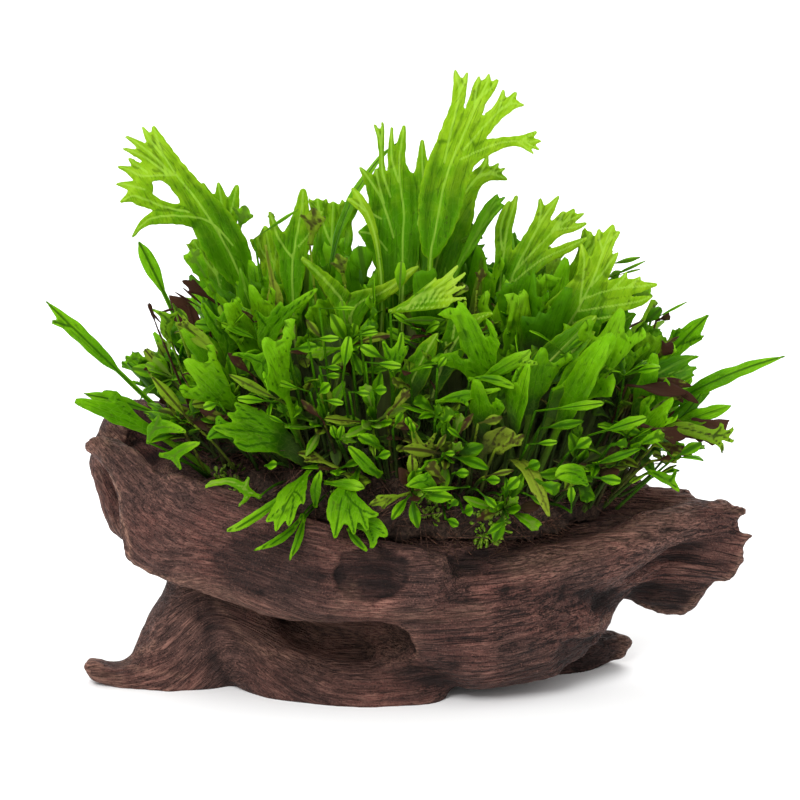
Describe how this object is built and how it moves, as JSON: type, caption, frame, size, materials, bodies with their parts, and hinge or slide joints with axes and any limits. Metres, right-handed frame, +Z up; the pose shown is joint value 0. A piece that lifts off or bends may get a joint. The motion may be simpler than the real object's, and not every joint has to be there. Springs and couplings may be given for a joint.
{
  "type": "java fern on driftwood",
  "caption": "Water fern with lance-shaped fronds that fork into crests, rooted in the hollow top of a piece of dark driftwood.",
  "frame": {"origin": "on the flat underside of the driftwood's trunk, on the surface that the part stands on", "axes": "+X along the wood from its left foot to its right wing, -Y the side with the lip and the hollow under it, +Z up"},
  "size_m": [0.2339, 0.1189, 0.2025],
  "materials": {
    "driftwood": "dark reddish brown waterlogged wood with fine raised fibres",
    "root_fibre": "matted dark brown root fibres",
    "rhizome": "green-brown scaly creeping stem",
    "frond_green": "satin living leaf, bright where light comes through it",
    "frond_deep": "satin living leaf, deep green",
    "frond_spotted": "old yellow-green leaf with a net of dark brown spots",
    "frond_brown": "dead leaf, dark brown and dull"
  },
  "bodies": {
    "root": {"driftwood_left_foot": "driftwood", "driftwood_rear_left_lobe": "driftwood", "driftwood_right_root": "driftwood", "driftwood_right_wing": "driftwood", "driftwood_trunk": "driftwood", "frond_back_left": "frond_green", "frond_back_low_left": "frond_green", "frond_back_low_right": "frond_green", "frond_back_mid_left": "frond_green", "frond_back_middle": "frond_green", "frond_back_right": "frond_green", "frond_broad_right": "frond_green", "frond_brown_left": "frond_brown", "frond_brown_right": "frond_brown", "frond_curled_left": "frond_green", "frond_dark_fork": "frond_deep", "frond_fan_left": "frond_green", "frond_far_left": "frond_green", "frond_flat_left": "frond_green", "frond_fork_front": "frond_green", "frond_fork_right": "frond_green", "frond_lance_front": "frond_green", "frond_long_right": "frond_green", "frond_low_front_left": "frond_green", "frond_low_right": "frond_green", "frond_over_lip_left": "frond_green", "frond_over_lip_middle": "frond_green", "frond_pale_left": "frond_green", "frond_pale_right": "frond_green", "frond_right_fork": "frond_green", "frond_saddle": "frond_green", "frond_sickle": "frond_green", "frond_small_fork": "frond_green", "frond_spotted_arch": "frond_spotted", "frond_spotted_crest": "frond_spotted", "frond_spotted_left": "frond_spotted", "frond_tall_centre": "frond_green", "frond_tall_fan": "frond_green", "frond_tall_left": "frond_green", "frond_tall_right_of_centre": "frond_green", "frond_thin_left": "frond_green", "frond_toothed_right": "frond_deep", "frond_upright_right": "frond_deep", "plantlet_back_left": "frond_green", "plantlet_back_middle": "frond_green", "plantlet_back_right": "frond_green", "plantlet_front_left": "frond_green", "plantlet_front_middle": "frond_green", "plantlet_front_right": "frond_green", "plantlet_left_edge": "frond_green", "plantlet_left_end": "frond_green", "plantlet_lip_middle": "frond_green", "plantlet_lip_right": "frond_green", "plantlet_right_edge": "frond_green", "plantlet_right_end": "frond_green", "plantlet_upper_middle": "frond_green", "rhizome_left": "rhizome", "rhizome_rear": "rhizome", "rhizome_right": "rhizome", "root_mat": "root_fibre"}
  },
  "joints": []
}
